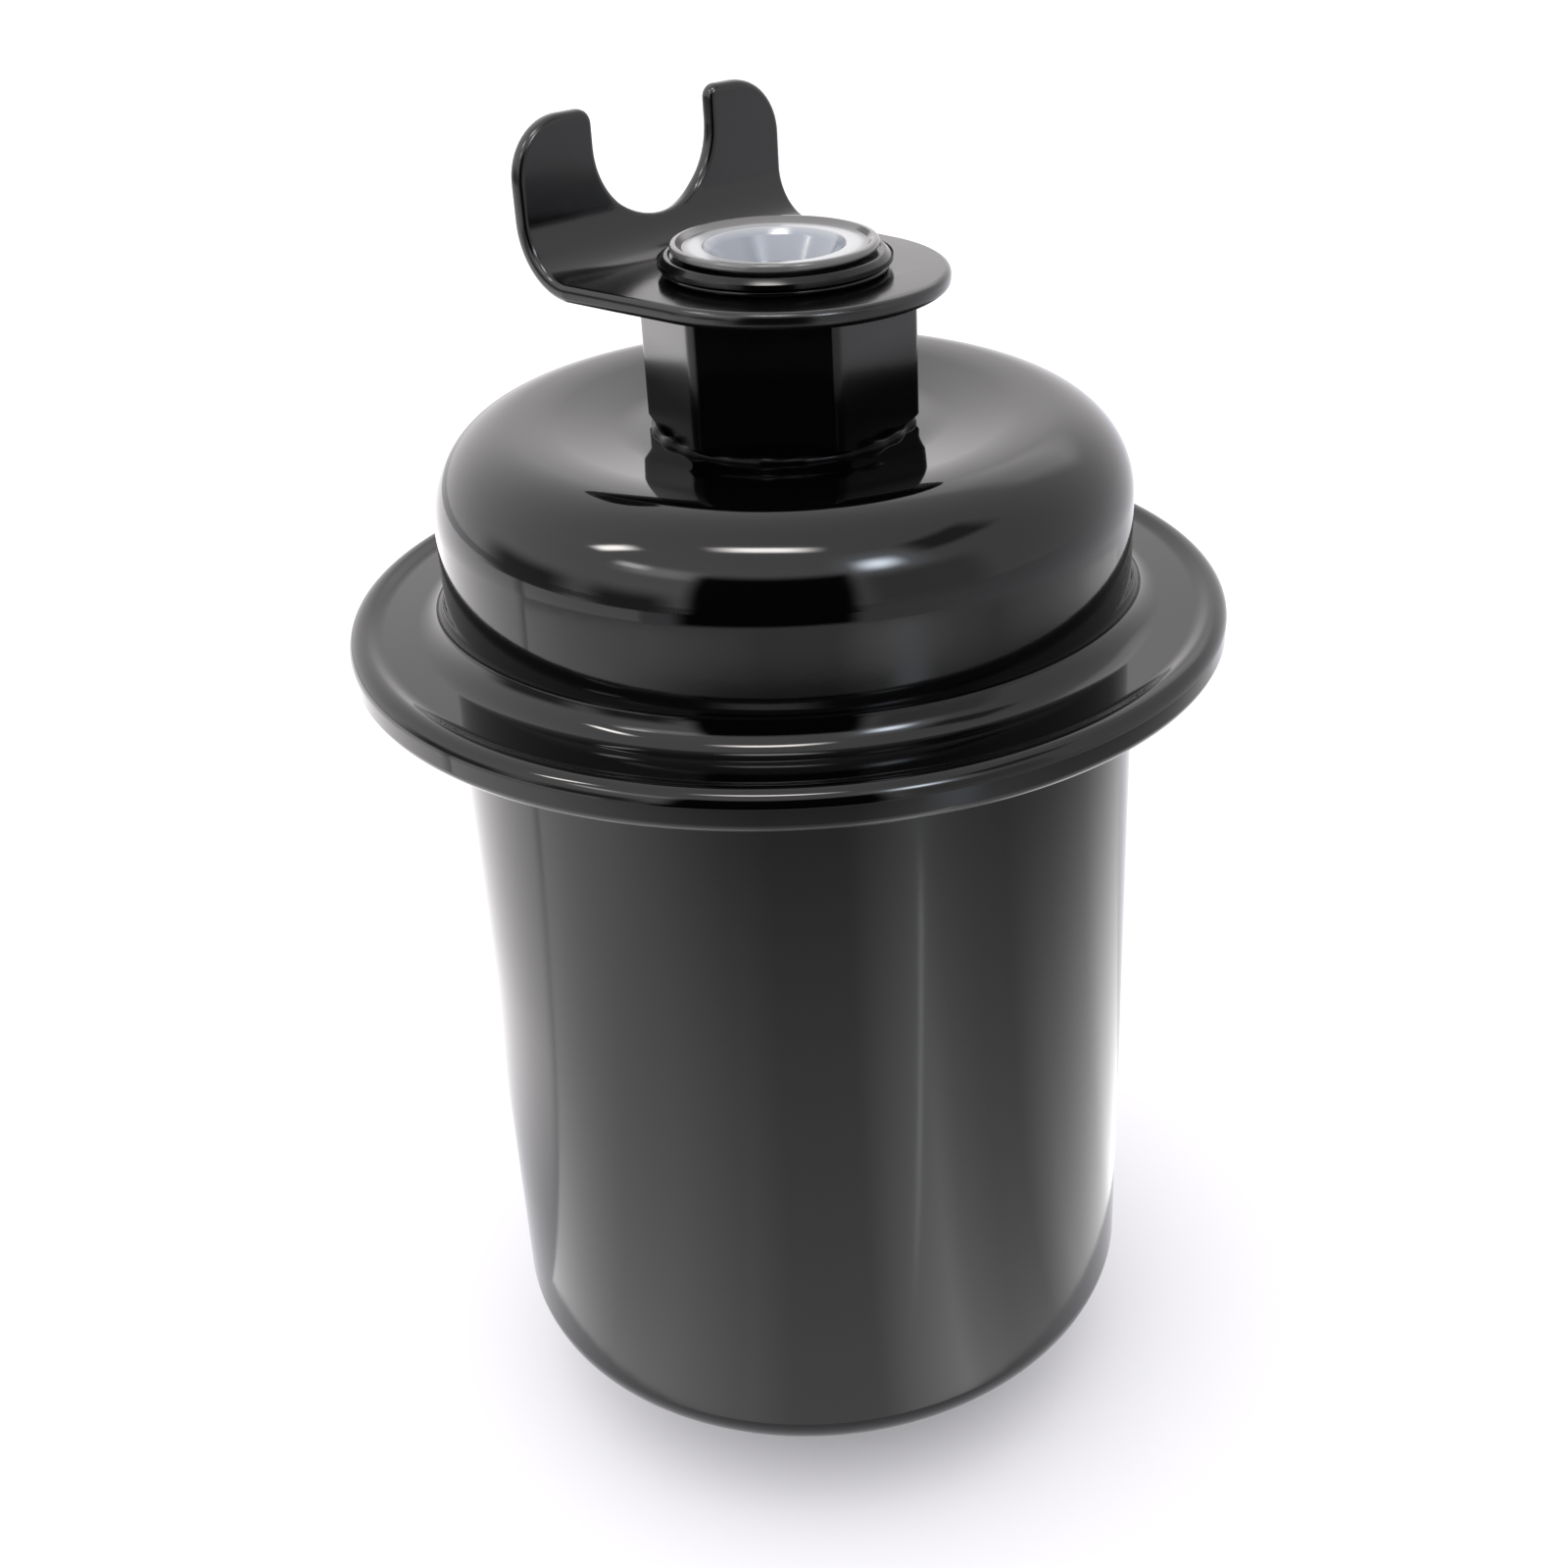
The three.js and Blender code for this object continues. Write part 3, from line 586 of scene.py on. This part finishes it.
def bracket_outline():
    """The flat blank's outline: x across the fork, y along the developed length from the axis."""
    bend_start = FORK_Y - BEND_R
    bend_length = (BEND_R + PLATE / 2) * math.pi / 2
    rise = bend_start + bend_length - (bracket_low.z + PLATE + BEND_R)
    top = FORK_TOP_Z + rise
    slot_y = SLOT_Z + rise
    left = touch_angle(FORK_HALF + EYE_SHIFT, bend_start)
    right = touch_angle(FORK_HALF - EYE_SHIFT, bend_start)
    outer, inner = PRONG_OUTER_CORNER_R, PRONG_INNER_CORNER_R
    return [
        *arc(EYE_SHIFT, 0, EYE_R, 180 - left, 360 + right, 96),
        (FORK_HALF, bend_start),
        *arc(FORK_HALF - outer, top - outer, outer, 0, 90, 16),
        *arc(SLOT_R + inner, top - inner, inner, 90, 180, 6),
        *arc(0, slot_y, SLOT_R, 0, -180, 40),
        *arc(-SLOT_R - inner, top - inner, inner, 0, 90, 6),
        *arc(-FORK_HALF + outer, top - outer, outer, 90, 180, 16),
        (-FORK_HALF, bend_start),
    ]


def flat_plate(outlines, thickness, edge):
    """A plate with rolled edges, centred on z = 0, as a bmesh in millimetres."""
    curve = bpy.data.curves.new("blank", "CURVE")
    curve.dimensions = "2D"
    curve.fill_mode = "BOTH"
    curve.extrude = thickness / 2 - edge
    curve.bevel_depth = edge
    curve.bevel_resolution = 3
    curve.offset = -edge
    for outline in outlines:
        spline = curve.splines.new("POLY")
        spline.points.add(len(outline) - 1)
        spline.use_cyclic_u = True
        for point, (x, y) in zip(spline.points, outline):
            point.co = (x, y, 0, 1)
    blank = bpy.data.objects.new("blank", curve)
    bpy.context.scene.collection.objects.link(blank)
    bpy.context.view_layer.update()
    mesh = bpy.data.meshes.new_from_object(blank.evaluated_get(bpy.context.evaluated_depsgraph_get()))
    bm = bmesh.new()
    bm.from_mesh(mesh)
    bpy.data.objects.remove(blank)
    bpy.data.curves.remove(curve)
    bpy.data.meshes.remove(mesh)
    bmesh.ops.remove_doubles(bm, verts=bm.verts, dist=1e-4)
    return bm


def make_bracket():
    bend_start = FORK_Y - BEND_R
    middle_r = BEND_R + PLATE / 2
    bend_length = middle_r * math.pi / 2
    bend_z = bracket_low.z + PLATE + BEND_R
    hole = arc(0, 0, EYE_HOLE_R, 0, 360, 96)[:-1]
    rolled_edge = 0.55
    bm = flat_plate([bracket_outline(), hole], PLATE, rolled_edge)
    cuts = 24
    for i in range(cuts + 1):
        at = (0, bend_start + bend_length * i / cuts, 0)
        everything = bm.verts[:] + bm.edges[:] + bm.faces[:]
        bmesh.ops.bisect_plane(bm, geom=everything, plane_co=at, plane_no=(0, 1, 0), dist=1e-4)
    turn = Matrix.Rotation(math.radians(BRACKET_TURN), 3, "Z")
    for vert in bm.verts:
        x, along, off = vert.co
        angle = min(max((along - bend_start) / middle_r, 0), math.pi / 2)
        y = min(along, bend_start) + (middle_r - off) * math.sin(angle)
        z = bend_z - (middle_r - off) * math.cos(angle) + max(along - bend_start - bend_length, 0)
        vert.co = turn @ Vector((x, y, z))
    new_object("fork_plate", bm, "filter", bracket_paint, ["banjo_bracket"])


# ---- plugs ----
def make_outlet_plug():
    low = outlet_plug_low.z
    rim_r = outlet_plug_high.x
    rim_top = outlet_plug_high.z
    flange_low = SEAT_Z + 0.25
    floor = flange_low + 0.25  # top of the flange inside its rim
    stem = OUTLET_BORE_R - PLUG_CLEARANCE
    throat_r = 5.9  # mouth of the hollow
    hollow = stem - PLUG_WALL
    slope = 0.3
    profile = rounded([
        (0, low, 0),
        (stem - 0.6, low, 0.2),
        (stem, low + 0.8, 0.3),
        (stem, SEAT_Z - OUTLET_MOUTH, 0.3),
        (stem + OUTLET_MOUTH, SEAT_Z, 0.05),
        (stem + OUTLET_MOUTH, flange_low, 0.05),
        (rim_r, flange_low, 0.2),
        (rim_r, rim_top, 0.28),
        (rim_r - 0.5, rim_top, 0.15),
        (rim_r - 0.95, floor, 0.2),
        (throat_r, floor, 0.25),
        (throat_r - 0.5, flange_low - slope, 0.2),
        (hollow, SEAT_Z - 2, 0.3),
        (hollow - slope, low + 1, 0.4),
        (0, low + 1, 0),
    ], 5)
    cap = turned(profile, SMALL_ROUND)
    new_object("outlet_cap", cap, "outlet_plug_body", plug_plastic, ["outlet_plug"])


def make_inlet_plug():
    low = inlet_plug_low.z
    top = inlet_plug_high.z
    stem = INLET_BORE_R - PLUG_CLEARANCE
    hollow = stem - PLUG_WALL
    profile = rounded([
        (0, top - 1, 0),
        (hollow - 0.3, top - 1, 0.4),
        (hollow, low, 0.2),
        (stem + 0.6, low, 0.15),
        (stem, low + 0.8, 0.3),
        (stem, top - 0.8, 0.3),
        (stem - 0.6, top, 0.2),
        (0, top, 0),
    ], 5)
    cap = turned(profile, SMALL_ROUND)
    new_object("inlet_cap", cap, "inlet_plug_body", plug_plastic, ["inlet_plug"])


make_can()
make_cover()
make_outlet_fitting()
make_bracket()
make_bracket_washer()
make_outlet_plug()
make_inlet_fitting()
make_inlet_plug()

carried = {
    "seam_gasket": nitrile,
    "inlet_flare_seat": seat_brass,
    "inlet_diffuser": tinned_steel,
    "element_spring": spring_steel,
    "lower_end_cap": tinned_steel,
    "lower_potting": potting,
    "pleated_medium": filter_paper,
    "media_seam_clip": tinned_steel,
    "centre_tube": tinned_steel,
    "upper_potting": potting,
    "upper_end_cap": tinned_steel,
    "outlet_grommet": nitrile,
}
for node, material in carried.items():
    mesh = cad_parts[node].data
    mesh.materials.clear()
    mesh.materials.append(material)
    for face in mesh.polygons:
        face.use_smooth = True
    mesh.set_sharp_from_angle(angle=math.radians(30))


# ---- studio ----
SEEN_FROM = Vector((0, 0, 0.09))  # middle of the shiny parts, which the panels are placed round


def multiply(nodes, links, a, b):
    node = nodes.new("ShaderNodeMath")
    node.operation = "MULTIPLY"
    links.new(a, node.inputs[0])
    links.new(b, node.inputs[1])
    return node.outputs["Value"]


def smooth_step(nodes, links, value, start, end):
    node = nodes.new("ShaderNodeMapRange")
    node.interpolation_type = "SMOOTHSTEP"
    node.inputs["From Min"].default_value = start
    node.inputs["From Max"].default_value = end
    links.new(value, node.inputs["Value"])
    return node.outputs["Result"]


def glow_material(name, color, strength, feather):
    """A surface that only glows, or a black card when the strength is 0, with edges that fade out."""
    material, nodes, links, shader = node_material(name)
    shader.inputs["Base Color"].default_value = (0, 0, 0, 1)
    shader.inputs["Roughness"].default_value = 1
    shader.inputs["Specular IOR Level"].default_value = 0
    shader.inputs["Emission Color"].default_value = (*color, 1)
    shader.inputs["Emission Strength"].default_value = strength
    place = nodes.new("ShaderNodeUVMap")
    split = nodes.new("ShaderNodeSeparateXYZ")
    links.new(place.outputs["UV"], split.inputs[0])
    cover = None
    for side in ("X", "Y"):
        for start, end in ((0, feather), (1, 1 - feather)):
            edge = smooth_step(nodes, links, split.outputs[side], start, end)
            cover = edge if cover is None else multiply(nodes, links, cover, edge)
    clear = nodes.new("ShaderNodeBsdfTransparent")
    mix = nodes.new("ShaderNodeMixShader")
    links.new(cover, mix.inputs["Fac"])
    links.new(clear.outputs[0], mix.inputs[1])
    links.new(shader.outputs[0], mix.inputs[2])
    links.new(mix.outputs[0], nodes["Material Output"].inputs["Surface"])
    return material


def stage_grid(name, rows, material, reflected_only=True):
    """A studio panel from rows of points in metres, with its UVs running along and across the rows."""
    across, along = len(rows[0]), len(rows)
    faces = []
    for k in range(along - 1):
        for i in range(across - 1):
            near = k * across + i
            far = near + across
            faces.append((near, near + 1, far + 1, far))
    mesh = bpy.data.meshes.new(name)
    mesh.from_pydata([tuple(point) for row in rows for point in row], [], faces)
    uv = mesh.uv_layers.new(name="UVMap")
    for loop in mesh.loops:
        k, i = divmod(loop.vertex_index, across)
        uv.data[loop.index].uv = (i / (across - 1), k / (along - 1))
    mesh.materials.append(material)
    made = bpy.data.objects.new(name, mesh)
    if reflected_only:
        made.visible_camera = False
        made.visible_diffuse = False
        made.visible_shadow = False
        made.visible_transmission = False
    bpy.context.scene.collection.objects.link(made)


def toward(azimuth, elevation):
    """A direction from azimuth (0 at -Y, 90 at +X) and elevation, in degrees."""
    a, e = math.radians(azimuth), math.radians(elevation)
    return Vector((math.cos(e) * math.sin(a), -math.cos(e) * math.cos(a), math.sin(e)))


def softbox(name, azimuths, elevations, distance, material):
    """A panel that covers a range of directions, curved round the object."""
    rows = []
    for elevation in spaced(*elevations, 6):
        rows.append([SEEN_FROM + toward(azimuth, elevation) * distance for azimuth in spaced(*azimuths, 12)])
    stage_grid(name, rows, material)


def floor_patch(name, azimuths, radii, height, material):
    """A patch of floor between two directions and two distances from the filter's axis, in metres."""
    rows = []
    for radius in spaced(*radii, 6):
        points = [toward(azimuth, 0) * radius for azimuth in spaced(*azimuths, 24)]
        rows.append([(point.x, point.y, height) for point in points])
    stage_grid(name, rows, material)


def make_world():
    """A white room, brighter in front and on the left."""
    world = bpy.data.worlds.new("studio")
    world.use_nodes = True
    nodes, links = world.node_tree.nodes, world.node_tree.links
    coords = nodes.new("ShaderNodeTexCoord")
    lean = nodes.new("ShaderNodeVectorMath")
    lean.operation = "DOT_PRODUCT"
    lean.inputs[1].default_value = (-0.5, -0.45, 0)
    lift = nodes.new("ShaderNodeMath")
    lift.inputs[1].default_value = 2.0
    links.new(coords.outputs["Generated"], lean.inputs[0])
    links.new(lean.outputs["Value"], lift.inputs[0])
    links.new(lift.outputs["Value"], nodes["Background"].inputs["Strength"])
    nodes["Background"].inputs["Color"].default_value = (1, 0.975, 0.985, 1)
    bpy.context.scene.world = world


def make_floor():
    material, nodes, links, shader = node_material("floor_white")
    shader.inputs["Base Color"].default_value = (0.67, 0.675, 0.70, 1)
    shader.inputs["Roughness"].default_value = 0.9
    shader.inputs["Specular IOR Level"].default_value = 0
    side = 4
    rows = [[(-side, y, 0), (side, y, 0)] for y in (-side, side)]
    stage_grid("floor", rows, material, reflected_only=False)


def mix_colors(nodes, links, blend, factor, a, b):
    mix = nodes.new("ShaderNodeMix")
    mix.data_type = "RGBA"
    mix.blend_type = blend
    mix.inputs["Factor"].default_value = 1
    if factor is not None:
        links.new(factor, mix.inputs["Factor"])
    links.new(a, mix.inputs["A"])
    links.new(b, mix.inputs["B"])
    return mix.outputs["Result"]


def add_ramp(nodes, stops, brightest=None):
    """A colour ramp in grays from (place, value) stops, divided by the brightest, which it returns too."""
    brightest = brightest or max(value for place, value in stops)
    ramp = nodes.new("ShaderNodeValToRGB")
    elements = ramp.color_ramp.elements
    elements.remove(elements[1])
    for i, (place, value) in enumerate(stops):
        stop = elements[0] if i == 0 else elements.new(place)
        stop.position = place
        stop.color = (value / brightest, value / brightest, value / brightest, 1)
    return ramp, brightest


def floor_tone():
    """Brightness of the floor in front of the filter, by direction and by distance."""
    material, nodes, links, shader = node_material("floor_tone")
    shader.inputs["Base Color"].default_value = (0, 0, 0, 1)
    shader.inputs["Roughness"].default_value = 1
    shader.inputs["Specular IOR Level"].default_value = 0
    coords = nodes.new("ShaderNodeTexCoord")
    radial = nodes.new("ShaderNodeTexGradient")
    radial.gradient_type = "RADIAL"
    links.new(coords.outputs["Object"], radial.inputs["Vector"])
    tones = [(-90, 2.9), (-72, 2.7), (-60, 2.6), (-44, 1.9), (-36, 1.5), (-24, 1.0), (-10, 0.72), (12, 0.72),
             (22, 1.2), (34, 1.85), (40, 1.45), (48, 1.2), (63, 0.85), (80, 0.75), (100, 0.85), (130, 1.45)]
    # how much the floor near the filter gains
    nearness = [(-90, 0), (-60, 0), (-50, 0.17), (-33, 0.6), (-20, 1), (20, 1), (34, 0.75), (52, 0.45),
                (64, 0.45), (78, 1), (108, 1), (130, 0.28)]
    around, brightest = add_ramp(nodes, [(0.25 + azimuth / 360, tone) for azimuth, tone in tones])
    gain, _ = add_ramp(nodes, [(0.25 + azimuth / 360, value) for azimuth, value in nearness])
    links.new(radial.outputs["Fac"], around.inputs["Fac"])
    links.new(radial.outputs["Fac"], gain.inputs["Fac"])
    length = nodes.new("ShaderNodeVectorMath")
    length.operation = "LENGTH"
    links.new(coords.outputs["Object"], length.inputs[0])
    farthest = 0.25
    spread = share_of(nodes, links, length.outputs["Value"], farthest)
    plain = [(0.05, 0.77), (0.10, 0.81), (0.135, 0.84), (0.25, 0.85)]
    gained = [(0.05, 2.3), (0.10, 1.8), (0.135, 1.35), (0.16, 1.0), (0.18, 0.95), (0.20, 0.7), (0.213, 0.4),
              (0.220, 1.3), (0.23, 1.7)]
    strongest = gained[0][1]
    fades = []
    for fade in (plain, gained):
        ramp, _ = add_ramp(nodes, [(radius / farthest, value) for radius, value in fade], strongest)
        links.new(spread, ramp.inputs["Fac"])
        fades.append(ramp.outputs["Color"])
    outward = mix_colors(nodes, links, "MIX", gain.outputs["Color"], *fades)
    tone = mix_colors(nodes, links, "MULTIPLY", None, around.outputs["Color"], outward)
    links.new(tone, shader.inputs["Emission Color"])
    shader.inputs["Emission Strength"].default_value = brightest * strongest
    return material


def ceiling_light(name, start, end, width, material):
    """A strip on the ceiling. The ends are given per metre of height above the filter."""
    height = SEEN_FROM.z + 1.0
    rows = []
    for side in (-0.5, 0.5):
        places = zip(spaced(start[0], end[0], 8), spaced(start[1], end[1], 8))
        rows.append([(x, y + side * width, height) for x, y in places])
    stage_grid(name, rows, material)


def make_studio():
    make_world()
    make_floor()
    white = (1, 0.975, 0.985)
    cool = (0.82, 0.90, 1)
    black = glow_material("black_card", white, 0.0, 0.12)
    dim = glow_material("dim_card", white, 0.42, 0.35)
    dark = glow_material("dark_card", white, 0.45, 0.3)
    gray = glow_material("gray_card", white, 1.15, 0.25)
    tube = glow_material("tube", (1, 0.96, 0.93), 42, 0.4)
    band = glow_material("band", white, 5.5, 0.4)
    bright_band = glow_material("bright_band", white, 14, 0.4)
    window = glow_material("window", white, 2.3, 0.3)
    lamp = glow_material("blue_lamp", cool, 36, 0.5)
    glow = glow_material("blue_glow", cool, 5, 0.5)
    streak = glow_material("streak", (0.95, 0.98, 1), 5.0, 0.3)
    blue_floor = glow_material("blue_floor", cool, 2.4, 0.5)
    left_floor = glow_material("left_floor", white, 2.45, 0.05)
    floor_patch("floor_front", (-89, 129), (0.042, 0.24), 0.0010, floor_tone())
    floor_patch("floor_left", (-175, -89), (0.050, 0.9), 0.0010, left_floor)
    floor_patch("floor_far_left", (-89, -45), (0.24, 0.9), 0.0010, left_floor)
    floor_patch("floor_dark", (-38, 22), (0.232, 0.75), 0.0020, black)
    floor_patch("floor_blue", (25, 44), (0.145, 0.25), 0.0020, blue_floor)
    stage_grid("floor_streak", [[(0.0165, -0.0475, 0.0025), (0.090, -0.134, 0.0025)],
                                [(0.0182, -0.0465, 0.0025), (0.0935, -0.131, 0.0025)]], streak)
    softbox("card_front", (-35, 23), (-28, 41), 0.6, black)
    softbox("card_left", (-70, -30), (-28, 19), 0.62, dim)
    softbox("card_far_left", (-112, -62), (-18, 18), 0.64, dim)
    softbox("card_right", (16, 68), (-8, 36), 0.62, gray)
    softbox("card_upper_right", (44, 96), (42, 60), 0.6, dark)
    softbox("window_right", (130, 178), (22, 50), 0.9, window)
    softbox("band_left", (-68, -24), (28, 43), 0.9, band)
    softbox("band_bright", (-66, -48), (34, 41), 0.88, bright_band)
    softbox("blue_spot", (20, 44), (34, 52), 0.88, lamp)
    softbox("blue_haze", (10, 56), (26, 62), 0.9, glow)
    ceiling_light("tube_left", (-1.12, -0.2), (-0.63, -0.2), 0.18, tube)
    ceiling_light("tube_middle", (-0.36, -0.265), (0.16, -0.375), 0.17, tube)


make_studio()


# ---- camera ----
def make_camera():
    eye = Vector((0, -0.16556, FLANGE_Z * MM + 0.07079))
    target = Vector((0.013049, 0, FLANGE_Z * MM - 0.019892))
    roll = -0.0134
    forward = (target - eye).normalized()
    right = forward.cross(Vector((0, 0, 1))).normalized()
    up = right.cross(forward)
    rolled = math.cos(roll) * right + math.sin(roll) * up
    upright = math.cos(roll) * up - math.sin(roll) * right
    camera = bpy.data.cameras.new("camera")
    camera.sensor_width = 36
    camera.lens = 46.006
    camera.shift_x = -0.1
    camera.shift_y = -0.00327
    camera.clip_start = 0.01
    camera.clip_end = 20
    made = bpy.data.objects.new("camera", camera)
    rows = [(rolled[i], upright[i], -forward[i], eye[i]) for i in range(3)]
    made.matrix_world = Matrix([*rows, (0, 0, 0, 1)])
    bpy.context.scene.collection.objects.link(made)
    bpy.context.scene.camera = made


make_camera()
bpy.context.scene.view_settings.view_transform = "Standard"
